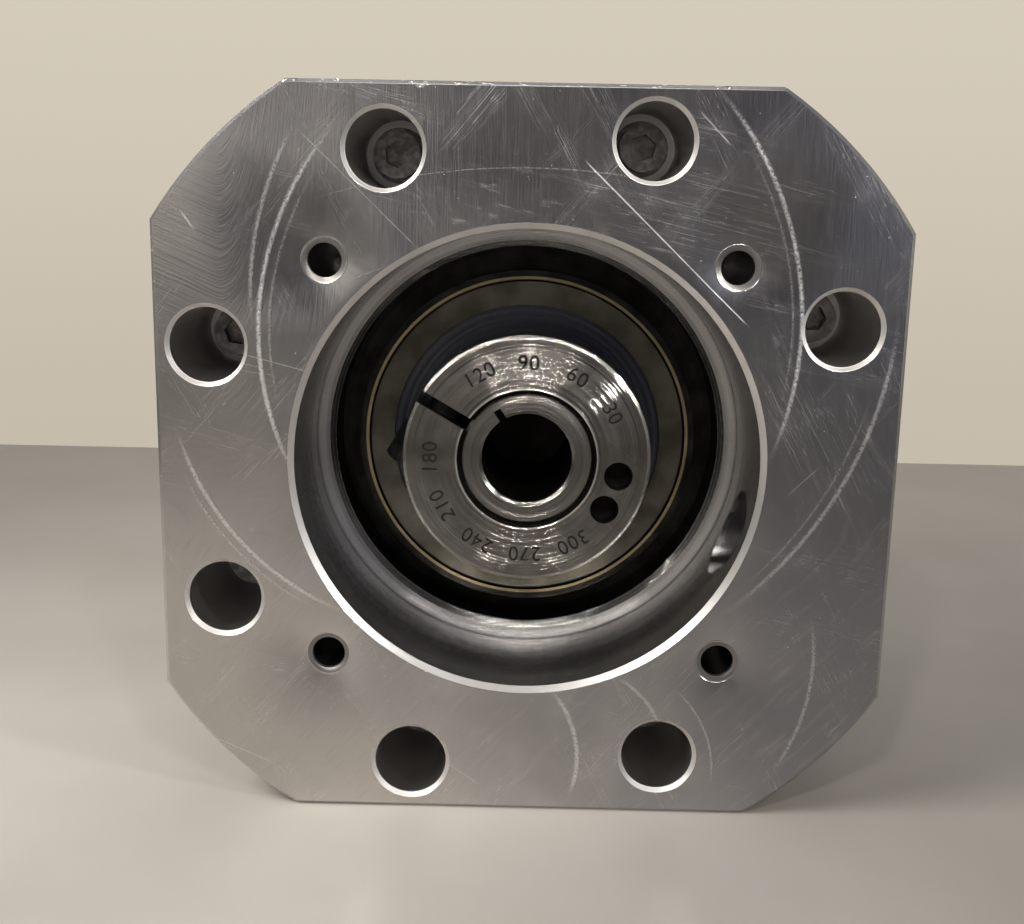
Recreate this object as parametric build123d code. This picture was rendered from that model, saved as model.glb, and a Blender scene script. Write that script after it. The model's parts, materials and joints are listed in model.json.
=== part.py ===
from build123d import *
import math
import os

os.makedirs("parts", exist_ok=True)

# A one-stage planetary gearbox that lies on its flats with the motor side up front.
# Lengths are in millimetres. The shaft axis is Y, and the motor comes in along +Y.
# Depths are measured along Y from the front face of the motor adapter plate.
# Angles run from +X towards +Z, which is counter-clockwise as the motor side shows them.

# Motor adapter plate
plate_rim = 1.0
plate_corner_reach = 14.0
plate_cover = 12.0
plate_edge_bevel = 0.8
pilot_step = 4.1
pilot_bevel = 1.2
throat_lead = 1.7
throat_bevel = 1.3
register_width = 6.6
register_height = 2.0

# Tapped holes for the motor's screws
motor_screw_offset = 10.0
motor_screw_count = 4
motor_screw_angle = 45.0
motor_tap_diameter = 6.8
motor_tap_depth = 20.0
motor_tap_mouth = 9.1
motor_tap_mouth_depth = 0.4

# Screws that hold the adapter plate, in deep pockets
adapter_screw_inset = 5.4
adapter_screw_places = 8
adapter_screw_angle = 25.0
adapter_pocket_diameter = 15.1
adapter_pocket_bevel = 0.85
adapter_head_reach = 18.2
adapter_thread_length = 20.0

# Side hole for the key that turns the clamp screw, and its plug
access_diameter = 18.0
access_depth = 14.0
access_drop = 16.3
plug_head_diameter = 22.0
plug_head_height = 2.0
plug_body_length = 12.0
plug_wall = 2.0

# Socket head screws
m6_diameter = 6.0
m6_head_diameter = 10.0
m6_head_height = 6.0
m6_key_width = 5.0
m6_key_depth = 3.0
m6_washer_diameter = 12.0
m6_washer_thickness = 1.6
m8_diameter = 8.0
m8_head_diameter = 13.0
m8_head_height = 8.0
m8_key_width = 6.0
m8_key_depth = 4.0
key_turn_step = 17.0

# Clamp hub on the input shaft
hub_front = 7.4
hub_length = 16.0
hub_wall = 11.9
hub_bevel = 0.6
hub_recess_width = 0.65
hub_recess_depth = 2.0
hub_slot_angle = 150.0
hub_slot_width = 2.7
hub_hole_offset = 5.5
hub_back_room = 4.6
clamp_head_seat = 7.0
clamp_thread_length = 12.0
balance_hole_diameter = 6.0
balance_hole_depth = 5.0
balance_hole_angles = (-9.4, -32.1)

# Input shaft with the sun gear, and the bushing for the motor shaft
motor_shaft_diameter = 19.0
bushing_wall = 2.5
bushing_length = 40.0
bushing_slot_angle = 122.0
bushing_slot_width = 1.6
bushing_bevel = 0.7
sleeve_wall = 2.0
sleeve_setback = 0.9
sleeve_bevel = 0.5
sleeve_slit_count = 3
sleeve_slit_width = 1.5
sleeve_slit_margin = 3.0
sleeve_bore_extra = 2.0
collar_height = 4.0
collar_length = 5.0
seal_journal_drop = 1.5

# Input bearing, 35 x 72 x 17
input_bearing_bore = 35.0
input_bearing_diameter = 72.0
input_bearing_width = 17.0
input_ball_count = 9
ball_share = 0.6
inner_ring_share = 0.324
outer_ring_share = 0.308
bearing_bevel = 0.5
ball_cage_rim = 1.0
cage_play = 0.15
shield_thickness = 0.5
shield_inset = 0.6
snap_ring_thickness = 1.5
snap_ring_height = 2.2
snap_ring_opening = 16.0

# Input bearing housing
neck_wall = 2.0
neck_lead = 0.6
neck_room = 5.4
flange_thickness = 11.0
housing_spigot_length = 5.0
snap_ring_room = 2.5
bearing_stop_height = 6.8
bearing_stop_thickness = 1.25
input_seal_height = 7.5
input_seal_width = 7.0
seal_wall = 1.6
shaft_hole_gap = 1.2
seal_back_wall = 1.5

# Gear set
gear_module = 1.5
pressure_angle = math.radians(20.0)
sun_teeth = 18
planet_teeth = 27
planet_count = 3
first_planet_angle = 90.0
planet_width = 24.0
tooth_overlap = 1.0
tooth_thinning = 0.08
addendum = 1.0
dedendum = 1.25

# Planet carrier, planet pins and needle rollers
carrier_wall = 5.0
carrier_back_wall = 9.0
carrier_rim = 2.5
carrier_front_gap = 1.5
carrier_bore_gap = 2.0
planet_side_gap = 0.15
planet_rim_gap = 1.0
washer_thickness = 1.0
washer_rim = 3.0
pin_diameter = 16.0
needle_diameter = 4.0
needle_count = 10
needle_margin = 1.5
cage_thickness = 1.6

# Ring gear housing
housing_wall = 18.125
ring_back_room = 3.0
housing_screw_inset = 6.75
housing_screw_count = 8
housing_thread_length = 17.7
spigot_wall = 4.0

# Main bearings on the output side
cup_step = 2.375
inner_main_section = 17.5
inner_main_width = 23.0
outer_cup_step = 10.0
outer_main_section = 15.0
outer_main_width = 20.0
main_bearing_spacing = 6.0
shoulder_length = 2.0
shoulder_height = 5.5
outer_shoulder_height = 2.75
inner_roller_diameter = 9.0
outer_roller_diameter = 8.0
roller_count = 14
roller_margin = 3.5
roller_tilt = math.radians(12.0)
roller_cage_margin = 1.0
cone_rib_width = 2.5
cone_rib_height = 2.0
nut_length = 7.0
nut_height = 7.0
nut_slot_count = 4
nut_slot_width = 6.0
nut_slot_depth = 2.5
nut_room_length = 2.0

# Output housing and output shaft
flange_corner_reach = 17.5
flange_depth = 16.0
output_screw_offset = 7.5
output_screw_count = 4
output_screw_angle = 45.0
output_screw_hole = 11.0
output_pilot_step = 9.0
output_pilot_length = 5.0
nose_wall = 4.0
nose_length = 9.0
nose_bevel = 1.5
journal_step = 2.5
output_seal_height = 8.5
output_seal_width = 8.0
shaft_step_height = 2.5
output_shaft_length = 82.0
shaft_end_bevel = 1.5
shaft_tap_diameter = 14.0
shaft_tap_depth = 36.0

# Clearances: between pieces of one body, in threads, round screws, and across a running joint
seat_gap = 0.02
thread_gap = 0.05
screw_gap = 0.3
head_gap = 0.4
running_gap = 0.05
slide_gap = 0.1
open_gap = 0.5

# Radii of the gear set
ring_teeth = sun_teeth + 2 * planet_teeth
sun_radius = gear_module * sun_teeth / 2
planet_radius = gear_module * planet_teeth / 2
ring_radius = gear_module * ring_teeth / 2
centre_distance = sun_radius + planet_radius
tooth_thickness = math.pi * gear_module / 2
ring_tip_radius = ring_radius - addendum * gear_module
ring_root_radius = ring_radius + dedendum * gear_module
carrier_radius = ring_tip_radius - carrier_rim
needle_radius = needle_diameter / 2 - running_gap
needle_track = pin_diameter / 2 + needle_diameter / 2
planet_bore_radius = needle_track + needle_diameter / 2
spigot_radius = ring_root_radius + open_gap

# Diameters on the motor side, from the motor shaft outwards
bushing_diameter = motor_shaft_diameter + 2 * bushing_wall
sleeve_diameter = bushing_diameter + 2 * sleeve_wall
hub_recess_diameter = sleeve_diameter + 2 * hub_recess_width
hub_diameter = sleeve_diameter + 2 * hub_wall
hub_hole_radius = sleeve_diameter / 2 + hub_hole_offset
collar_diameter = input_bearing_bore + 2 * collar_height
seal_journal_diameter = input_bearing_bore - 2 * seal_journal_drop
input_seal_diameter = seal_journal_diameter + 2 * input_seal_height
input_ball_pitch = (input_bearing_bore + input_bearing_diameter) / 2
input_section = (input_bearing_diameter - input_bearing_bore) / 2
input_ball_diameter = ball_share * input_section
input_inner_land = input_bearing_bore + 2 * inner_ring_share * input_section
input_outer_land = input_bearing_diameter - 2 * outer_ring_share * input_section
bearing_stop_diameter = input_bearing_diameter - 2 * bearing_stop_height
neck_diameter = input_bearing_diameter + 2 * neck_wall
throat_diameter = neck_diameter + 2 * neck_room
register_diameter = throat_diameter + 2 * register_width
pilot_diameter = throat_diameter + 2 * pilot_step
motor_screw_circle = pilot_diameter + 2 * motor_screw_offset

# Diameters round the gear set and on the output side
housing_diameter = 2 * (ring_root_radius + housing_wall)
adapter_screw_circle = housing_diameter - 2 * adapter_screw_inset
housing_screw_circle = housing_diameter - 2 * housing_screw_inset
plate_width = housing_diameter + 2 * plate_rim
plate_corner_diameter = plate_width + 2 * plate_corner_reach
flange_corner_diameter = plate_width + 2 * flange_corner_reach
output_screw_circle = plate_width + 2 * output_screw_offset
output_pilot_diameter = housing_diameter - 2 * output_pilot_step
inner_cup_diameter = 2 * (spigot_radius - spigot_wall - cup_step)
inner_cone_bore = inner_cup_diameter - 2 * inner_main_section
outer_cup_diameter = inner_cup_diameter - 2 * outer_cup_step
outer_cone_bore = outer_cup_diameter - 2 * outer_main_section
nose_diameter = outer_cup_diameter + 2 * nose_wall
output_seal_journal = outer_cone_bore - 2 * journal_step
output_seal_diameter = output_seal_journal + 2 * output_seal_height
output_shaft_diameter = output_seal_journal - 2 * shaft_step_height

# Depths of the stacked pieces, front to back
sleeve_front = hub_front + sleeve_setback
collar_front = hub_front + hub_length + hub_back_room
input_bearing_front = collar_front + collar_length
input_bearing_back = input_bearing_front + input_bearing_width
neck_front = input_bearing_front - neck_lead
pilot_depth = neck_front - throat_lead
plate_thickness = input_bearing_front + plate_cover
adapter_head_depth = plate_thickness - adapter_head_reach
ring_housing_front = plate_thickness + flange_thickness
snap_room_back = input_bearing_back + snap_ring_room
input_seal_back = snap_room_back + input_seal_width
input_housing_back = max(input_seal_back + seal_back_wall, ring_housing_front + housing_spigot_length)
carrier_front = input_housing_back + carrier_front_gap
planet_bay_front = carrier_front + carrier_wall
planet_front = planet_bay_front + washer_thickness + planet_side_gap
planet_back = planet_front + planet_width
planet_bay_back = planet_back + planet_side_gap + washer_thickness
carrier_back = planet_bay_back + carrier_back_wall
ring_teeth_front = planet_front - tooth_overlap
ring_teeth_back = planet_back + tooth_overlap
inner_main_front = carrier_back + shoulder_length
inner_main_back = inner_main_front + inner_main_width
outer_main_front = inner_main_back + main_bearing_spacing
outer_main_back = outer_main_front + outer_main_width
nut_back = outer_main_back + nut_length
output_housing_front = inner_main_front
output_spigot_front = ring_teeth_back + ring_back_room
output_seal_front = nut_back + nut_room_length
output_housing_back = output_seal_front + output_seal_width + open_gap
flange_back = output_housing_back - nose_length - output_pilot_length
flange_front = flange_back - flange_depth
output_shaft_end = output_housing_back + output_shaft_length


def face_plane(depth):
    """A drawing plane across the shaft axis that shows X to the right and Z up."""
    return Plane(origin=(0, depth, 0), x_dir=(1, 0, 0), z_dir=(0, -1, 0))


def slab(drawing, front, back):
    """The drawing made solid from one depth to another."""
    return extrude(face_plane(back) * drawing, amount=back - front)


def at(radius, angle):
    """The place at a radius and an angle in degrees, in a drawing across the shaft axis."""
    turn = math.radians(angle)
    return Pos(radius * math.cos(turn), radius * math.sin(turn))


def angles(count, first=0.0):
    """Evenly spaced angles in degrees."""
    return [first + 360.0 * place / count for place in range(count)]


def ring_places(count):
    """Evenly spaced turns for rolling bodies, none of them straight at +X."""
    return angles(count, 180.0 / count)


def turned(*corners):
    """A solid turned about the shaft axis from (radius, depth) corners."""
    return revolve(make_face(Polyline(*corners, close=True)), Axis.Y)


def tube(inner_diameter, outer_diameter, front, back, bevel=0.0):
    """A ring about the shaft axis with its outer corners bevelled."""
    inner = inner_diameter / 2
    outer = outer_diameter / 2
    if bevel == 0.0:
        return turned((inner, front), (outer, front), (outer, back), (inner, back))
    corners = [(inner, front), (outer - bevel, front), (outer, front + bevel)]
    corners += [(outer, back - bevel), (outer - bevel, back), (inner, back)]
    return turned(*corners)


def rods(diameter, front, back, radius, turns):
    """Equal round bars along the shaft axis, on a circle."""
    drawing = Sketch() + [at(radius, turn) * Circle(diameter / 2) for turn in turns]
    return slab(drawing, front, back)


def radial_slot(radius, width, turn):
    """The drawing of a straight slot from the shaft axis out past a radius, at an angle in degrees."""
    return Rot(0, 0, turn) * Pos(radius, 0) * Rectangle(2 * radius, width)


def placed_round(shape, radius, turn, depth=0.0):
    """A shape moved from the shaft axis to a place at a radius, an angle and a depth."""
    spot = at(radius, turn).position
    return Pos(spot.X, depth, spot.Y) * shape


def square_with_turned_corners(width, corner_diameter):
    """The outline of a square bar whose corners are turned round."""
    return Rectangle(width, width) & Circle(corner_diameter / 2)


def socket_screw(diameter, head_diameter, head_height, key_width, key_depth, length, key_turn=0.0):
    """A socket head screw along +Y with the seat of its head at depth 0."""
    head = slab(Circle(head_diameter / 2), -head_height, 0)
    shank = slab(Circle(diameter / 2), 0, length)
    socket = RegularPolygon(key_width / 2, 6, major_radius=False, rotation=key_turn)
    return head + shank - slab(socket, -head_height, key_depth - head_height)


def write(name, shape):
    """Stores one sub-part under its name."""
    shape.label = name
    export_step(shape, f"parts/{name}.step")


# Motor adapter plate and what holds it

adapter_screw_seat = adapter_head_depth + m6_head_height + m6_washer_thickness
# The eighth place stays empty, because the side hole passes there.
adapter_screw_turns = angles(adapter_screw_places, adapter_screw_angle)[:-1]
motor_screw_turns = angles(motor_screw_count, motor_screw_angle)


def access_bore(diameter, inner_end, outer_end):
    """A round bar along +X on the line of the side hole."""
    side = Plane(origin=(inner_end, access_depth, -access_drop), x_dir=(0, 1, 0), z_dir=(1, 0, 0))
    return extrude(side * Circle(diameter / 2), amount=outer_end - inner_end)


def motor_adapter_plate():
    outline = square_with_turned_corners(plate_width, plate_corner_diameter)
    plate = slab(outline, 0, plate_thickness)
    plate = chamfer(plate.edges().group_by(Axis.Y)[0], plate_edge_bevel)
    pilot = pilot_diameter / 2
    throat = throat_diameter / 2
    register = register_diameter / 2 + seat_gap
    plate -= turned(
        (0, 0),
        (pilot + pilot_bevel, 0),
        (pilot, pilot_bevel),
        (pilot, pilot_depth),
        (throat + throat_bevel, pilot_depth),
        (throat, pilot_depth + throat_bevel),
        (throat, plate_thickness - register_height),
        (register, plate_thickness - register_height),
        (register, plate_thickness),
        (0, plate_thickness),
    )
    screw_radius = adapter_screw_circle / 2
    motor_radius = motor_screw_circle / 2
    plate -= rods(adapter_pocket_diameter, 0, adapter_screw_seat, screw_radius, adapter_screw_turns)
    plate -= rods(m6_diameter + 2 * screw_gap, 0, plate_thickness, screw_radius, adapter_screw_turns)
    plate -= rods(motor_tap_diameter, 0, motor_tap_depth, motor_radius, motor_screw_turns)
    pocket_mouth = adapter_pocket_diameter + 2 * adapter_pocket_bevel
    pocket_cone = mouth_cone(adapter_pocket_diameter, pocket_mouth, adapter_pocket_bevel)
    tap_cone = mouth_cone(motor_tap_diameter, motor_tap_mouth, motor_tap_mouth_depth)
    for turn in adapter_screw_turns:
        plate -= placed_round(pocket_cone, screw_radius, turn)
    for turn in motor_screw_turns:
        plate -= placed_round(tap_cone, motor_radius, turn)
    half = plate_width / 2
    plate -= access_bore(access_diameter, pilot / 2, half)
    plate -= access_bore(plug_head_diameter + 2 * slide_gap, half - plug_head_height, half)
    return plate


def mouth_cone(diameter, mouth, depth):
    """The cone that widens a hole's diameter to its mouth in the front face."""
    return turned((0, 0), (mouth / 2, 0), (diameter / 2, depth), (0, depth))


def adapter_screws():
    screws = []
    length = plate_thickness + flange_thickness + adapter_thread_length - adapter_screw_seat
    for place, turn in enumerate(adapter_screw_turns):
        screw = socket_screw(
            m6_diameter,
            m6_head_diameter,
            m6_head_height,
            m6_key_width,
            m6_key_depth,
            length + m6_washer_thickness,
            key_turn_step * place,
        )
        seat = adapter_head_depth + m6_head_height
        screws.append(placed_round(screw, adapter_screw_circle / 2, turn, seat))
    return Compound(children=screws)


def adapter_washers():
    washers = []
    washer = Circle(m6_washer_diameter / 2) - Circle(m6_diameter / 2 + screw_gap)
    for turn in adapter_screw_turns:
        front = adapter_screw_seat - m6_washer_thickness
        washers.append(slab(at(adapter_screw_circle / 2, turn) * washer, front, adapter_screw_seat))
    return Compound(children=washers)


def access_plug():
    half = plate_width / 2
    head = access_bore(plug_head_diameter, half - plug_head_height, half - seat_gap)
    body_diameter = access_diameter - 2 * slide_gap
    body = access_bore(body_diameter, half - plug_body_length, half - plug_head_height)
    hollow_end = half - plug_head_height - plug_wall
    hollow = access_bore(body_diameter - 2 * plug_wall, half - plug_body_length, hollow_end)
    return head + body - hollow


# Clamp hub, input shaft and bushing


def hub_direction():
    """The unit vector from the shaft axis towards the hub's slot, and the one a quarter turn on."""
    turn = math.radians(hub_slot_angle)
    return Vector(math.cos(turn), 0, math.sin(turn)), Vector(-math.sin(turn), 0, math.cos(turn))


def clamp_line(start):
    """A plane across the clamp screw, at a distance from the middle of the slot."""
    outward, along = hub_direction()
    middle = outward * hub_hole_radius + Vector(0, hub_front + hub_length / 2, 0)
    return Plane(origin=middle + along * start, x_dir=outward, z_dir=along)


def clamp_hub():
    outer = hub_diameter / 2
    back = hub_front + hub_length
    recess = hub_recess_diameter / 2
    bore = sleeve_diameter / 2 + seat_gap
    hub = turned(
        (recess, hub_front),
        (outer - hub_bevel, hub_front),
        (outer, hub_front + hub_bevel),
        (outer, back - hub_bevel),
        (outer - hub_bevel, back),
        (bore, back),
        (bore, hub_front + hub_recess_depth),
        (recess, hub_front + hub_recess_depth),
    )
    hub -= slab(radial_slot(outer, hub_slot_width, hub_slot_angle), hub_front, back)
    for angle in balance_hole_angles:
        hole = at(hub_hole_radius, angle) * Circle(balance_hole_diameter / 2)
        hub -= slab(hole, hub_front, hub_front + balance_hole_depth)
    pocket = Circle(m8_head_diameter / 2 + head_gap)
    hub -= extrude(clamp_line(clamp_head_seat) * pocket, amount=outer)
    shank = Circle(m8_diameter / 2 + thread_gap)
    hub -= extrude(clamp_line(-clamp_thread_length) * shank, amount=clamp_thread_length + outer)
    return hub


def clamp_screw():
    head = extrude(clamp_line(clamp_head_seat) * Circle(m8_head_diameter / 2), amount=m8_head_height)
    reach = clamp_head_seat + clamp_thread_length - open_gap
    shank = extrude(clamp_line(clamp_head_seat) * Circle(m8_diameter / 2), amount=-reach)
    key = RegularPolygon(m8_key_width / 2, 6, major_radius=False)
    top = clamp_head_seat + m8_head_height
    socket = extrude(clamp_line(top) * key, amount=-m8_key_depth)
    return head + shank - socket


def reducing_bushing():
    inner = motor_shaft_diameter / 2
    outer = bushing_diameter / 2 - seat_gap
    back = sleeve_front + bushing_length
    bushing = turned(
        (inner + bushing_bevel, sleeve_front),
        (outer, sleeve_front),
        (outer, back),
        (inner, back),
        (inner, sleeve_front + bushing_bevel),
    )
    slot = radial_slot(outer, bushing_slot_width, bushing_slot_angle)
    return bushing - slab(slot, sleeve_front, back)


def sun_shaft():
    sleeve = sleeve_diameter / 2
    bore = bushing_diameter / 2
    bore_end = sleeve_front + bushing_length + sleeve_bore_extra
    journal = input_bearing_bore / 2 - seat_gap
    groove = input_bearing_back + snap_ring_thickness + seat_gap
    groove_radius = journal - snap_ring_height / 2
    seal = seal_journal_diameter / 2
    neck = sun_radius - dedendum * gear_module
    shaft = turned(
        (0, bore_end),
        (bore, bore_end),
        (bore, sleeve_front),
        (sleeve - sleeve_bevel, sleeve_front),
        (sleeve, sleeve_front + sleeve_bevel),
        (sleeve, collar_front),
        (collar_diameter / 2, collar_front),
        (collar_diameter / 2, input_bearing_front),
        (journal, input_bearing_front),
        (journal, input_bearing_back),
        (groove_radius, input_bearing_back),
        (groove_radius, groove),
        (seal, groove),
        (seal, carrier_front),
        (neck, carrier_front),
        (neck, planet_front),
        (0, planet_front),
    )
    slit_front = sleeve_front + sleeve_slit_margin
    slit_back = collar_front - sleeve_slit_margin
    for turn in angles(sleeve_slit_count, hub_slot_angle):
        slit = radial_slot(sleeve, sleeve_slit_width, turn)
        shaft -= slab(slit, slit_front, slit_back)
    return shaft + slab(external_gear(sun_teeth, sun_turn()), ring_teeth_front, ring_teeth_back)


# Input bearing, its housing and seal


def ball_ring(count, diameter, pitch_diameter, depth):
    """Balls on a circle about the shaft axis."""
    ball = Pos(0, depth, pitch_diameter / 2) * Sphere(diameter / 2 - running_gap)
    return Compound(children=[Rot(0, turn, 0) * ball for turn in ring_places(count)])


input_ball_depth = input_bearing_front + input_bearing_width / 2


def race_groove():
    """The ring-shaped groove that the balls of the input bearing run in."""
    ball = Pos(input_ball_pitch / 2, input_ball_depth) * Circle(input_ball_diameter / 2)
    return revolve(ball, Axis.Y)


def input_bearing_outer_ring():
    ring = tube(
        input_outer_land,
        input_bearing_diameter - 2 * seat_gap,
        input_bearing_front,
        input_bearing_back,
        bearing_bevel,
    )
    return ring - race_groove()


def input_bearing_inner_ring():
    ring = tube(input_bearing_bore, input_inner_land, input_bearing_front, input_bearing_back)
    return ring - race_groove()


def input_bearing_shields():
    inner = input_inner_land + 2 * open_gap
    outer = input_outer_land - 2 * seat_gap
    front = input_bearing_front + shield_inset
    back = input_bearing_back - shield_inset
    near = tube(inner, outer, front, front + shield_thickness)
    far = tube(inner, outer, back - shield_thickness, back)
    return Compound(children=[near, far])


def input_bearing_balls():
    return ball_ring(input_ball_count, input_ball_diameter, input_ball_pitch, input_ball_depth)


def input_bearing_cage():
    """A ring through the middle of the balls, with a window for each ball."""
    half = input_ball_diameter / 2 + ball_cage_rim
    inner = input_ball_pitch - cage_thickness
    outer = input_ball_pitch + cage_thickness
    cage = tube(inner, outer, input_ball_depth - half, input_ball_depth + half)
    window = Cylinder(input_ball_diameter / 2 + cage_play, 4 * cage_thickness)
    upright = Pos(0, input_ball_depth, input_ball_pitch / 2) * window
    for turn in ring_places(input_ball_count):
        cage -= Rot(0, turn, 0) * upright
    return cage


def input_snap_ring():
    """The open ring in a groove of the input shaft that keeps the bearing on it."""
    middle = input_bearing_bore / 2
    section = Pos(middle, input_bearing_back + snap_ring_thickness / 2)
    section *= Rectangle(snap_ring_height, snap_ring_thickness)
    return revolve(section, Axis.Y, 360.0 - snap_ring_opening)


def input_bearing_housing():
    bearing_seat = input_bearing_diameter / 2
    bearing_stop = bearing_stop_diameter / 2
    stop_back = input_bearing_back + bearing_stop_thickness
    seal_seat = input_seal_diameter / 2
    shaft_hole = seal_journal_diameter / 2 + shaft_hole_gap
    register = register_diameter / 2
    register_front = plate_thickness - register_height + seat_gap
    housing = turned(
        (bearing_seat, neck_front),
        (neck_diameter / 2, neck_front),
        (neck_diameter / 2, register_front),
        (register, register_front),
        (register, plate_thickness),
        (housing_diameter / 2, plate_thickness),
        (housing_diameter / 2, ring_housing_front),
        (spigot_radius, ring_housing_front),
        (spigot_radius, ring_housing_front + housing_spigot_length),
        (spigot_radius - spigot_wall, ring_housing_front + housing_spigot_length),
        (spigot_radius - spigot_wall, ring_housing_front),
        (seal_seat + spigot_wall, ring_housing_front),
        (seal_seat + spigot_wall, input_seal_back + seal_back_wall),
        (shaft_hole, input_seal_back + seal_back_wall),
        (shaft_hole, input_seal_back),
        (seal_seat, input_seal_back),
        (seal_seat, stop_back),
        (bearing_stop, stop_back),
        (bearing_stop, input_bearing_back),
        (bearing_seat, input_bearing_back),
    )
    screw_hole = m6_diameter + 2 * screw_gap
    radius = adapter_screw_circle / 2
    return housing - rods(
        screw_hole, plate_thickness, ring_housing_front, radius, adapter_screw_turns
    )


def lip_seal(journal, diameter, front, back):
    """A shaft seal: a stiff ring with a lip that runs on the shaft."""
    outer = diameter / 2 - seat_gap
    inner = journal / 2 + running_gap
    middle = front + (back - front) / 3
    return turned(
        (inner, front + seal_wall / 2),
        (inner + seal_wall, front),
        (outer, front),
        (outer, back),
        (inner + 2 * seal_wall, back),
        (inner + 2 * seal_wall, back - seal_wall),
        (outer - seal_wall, back - seal_wall),
        (outer - seal_wall, front + seal_wall),
        (inner + seal_wall, front + seal_wall),
        (inner + seal_wall, middle),
        (inner, middle),
    )


def input_shaft_seal():
    return lip_seal(seal_journal_diameter, input_seal_diameter, snap_room_back, input_seal_back)


# Gear set


def involute(roll):
    return math.tan(roll) - roll


def half_tooth(radius, teeth, thickness):
    """Half the angle that a tooth spans at a radius, between involutes of its base circle."""
    pitch_radius = gear_module * teeth / 2
    base_radius = pitch_radius * math.cos(pressure_angle)
    roll = math.acos(min(1.0, base_radius / radius))
    return thickness / (2 * pitch_radius) + involute(pressure_angle) - involute(roll)


def toothed_outline(teeth, root_radius, tip_radius, thickness, turn):
    """A closed gear outline, with the first tooth at an angle in degrees."""
    corners = []
    radii = (root_radius, gear_module * teeth / 2, tip_radius)
    for angle in angles(teeth, turn):
        middle = math.radians(angle)
        rising = [(radius, middle - half_tooth(radius, teeth, thickness)) for radius in radii]
        falling = [(radius, middle + half_tooth(radius, teeth, thickness)) for radius in radii[::-1]]
        corners += [(r * math.cos(a), r * math.sin(a)) for r, a in rising + falling]
    return make_face(Polyline(*corners, close=True))


def external_gear(teeth, turn):
    pitch_radius = gear_module * teeth / 2
    root_radius = pitch_radius - dedendum * gear_module
    tip_radius = pitch_radius + addendum * gear_module
    return toothed_outline(teeth, root_radius, tip_radius, tooth_thickness - tooth_thinning, turn)


def planet_angles():
    """The planets' places: the nearest to an even spacing where the teeth of all gears mesh."""
    step = 360.0 / (sun_teeth + ring_teeth)
    even = [360.0 * place / planet_count for place in range(planet_count)]
    return [first_planet_angle + step * round(angle / step) for angle in even]


def planet_turn(angle):
    """The angle of a planet's first tooth that puts its outermost tooth in a gap of the ring gear."""
    return angle - ring_teeth * angle / planet_teeth


def sun_turn():
    """The angle of the sun gear's first tooth that meshes with the planets."""
    total = sun_teeth + ring_teeth
    return (total * first_planet_angle + 180.0 * (planet_teeth - 1)) / sun_teeth


def planet_gear(angle):
    drawing = external_gear(planet_teeth, planet_turn(angle)) - Circle(planet_bore_radius)
    return slab(at(centre_distance, angle) * drawing, planet_front, planet_back)


def planet_needles(angle):
    turns = angles(needle_count)
    needles = Sketch() + [at(needle_track, turn) * Circle(needle_radius) for turn in turns]
    placed = at(centre_distance, angle) * needles
    return slab(placed, planet_front + needle_margin, planet_back - needle_margin)


def needle_cage(angle):
    """The cage of one needle bearing: two end rings joined by bars between the needles."""
    inner = needle_track - cage_thickness / 2
    outer = needle_track + cage_thickness / 2
    ring = Circle(outer) - Circle(inner)
    pockets = [
        at(needle_track, turn) * Circle(needle_radius + cage_play) for turn in angles(needle_count)
    ]
    cage = slab(at(centre_distance, angle) * ring, planet_front + slide_gap, planet_back - slide_gap)
    holes = at(centre_distance, angle) * (Sketch() + pockets)
    margin = needle_margin - cage_play
    return cage - slab(holes, planet_front + margin, planet_back - margin)


def planet_pins():
    front = carrier_front + open_gap
    back = carrier_back - open_gap
    return rods(pin_diameter, front, back, centre_distance, planet_angles())


def thrust_washers():
    """The washers on both sides of each planet."""
    outer = planet_bore_radius + washer_rim
    inner = pin_diameter / 2 + seat_gap
    washer = Circle(outer) - Circle(inner)
    washers = []
    for angle in planet_angles():
        placed = at(centre_distance, angle) * washer
        washers.append(slab(placed, planet_bay_front, planet_bay_front + washer_thickness))
        washers.append(slab(placed, planet_bay_back - washer_thickness, planet_bay_back))
    return Compound(children=washers)


def output_carrier():
    """The planet carrier in one piece with the output shaft."""
    sun_hole = sun_radius + addendum * gear_module + carrier_bore_gap
    inner_journal = inner_cone_bore / 2 - seat_gap
    outer_journal = outer_cone_bore / 2 - seat_gap
    seal_journal = output_seal_journal / 2
    shaft_radius = output_shaft_diameter / 2
    shoulder = inner_journal + shoulder_height
    carrier = turned(
        (0, planet_bay_back),
        (sun_hole, planet_bay_back),
        (sun_hole, carrier_front),
        (carrier_radius, carrier_front),
        (carrier_radius, carrier_back),
        (shoulder, carrier_back),
        (shoulder, inner_main_front),
        (inner_journal, inner_main_front),
        (inner_journal, inner_main_back),
        (outer_journal + outer_shoulder_height, inner_main_back),
        (outer_journal + outer_shoulder_height, outer_main_front),
        (outer_journal, outer_main_front),
        (outer_journal, nut_back),
        (seal_journal, nut_back),
        (seal_journal, output_housing_back),
        (shaft_radius, output_housing_back),
        (shaft_radius, output_shaft_end - shaft_end_bevel),
        (shaft_radius - shaft_end_bevel, output_shaft_end),
        (0, output_shaft_end),
    )
    bay = planet_radius + addendum * gear_module + planet_rim_gap
    turns = planet_angles()
    carrier -= rods(2 * bay, planet_bay_front, planet_bay_back, centre_distance, turns)
    hole = pin_diameter + 2 * seat_gap
    carrier -= rods(hole, carrier_front, carrier_back, centre_distance, turns)
    tap = Circle(shaft_tap_diameter / 2)
    return carrier - slab(tap, output_shaft_end - shaft_tap_depth, output_shaft_end)


# Main bearings: tapered rollers, set back to back


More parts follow.
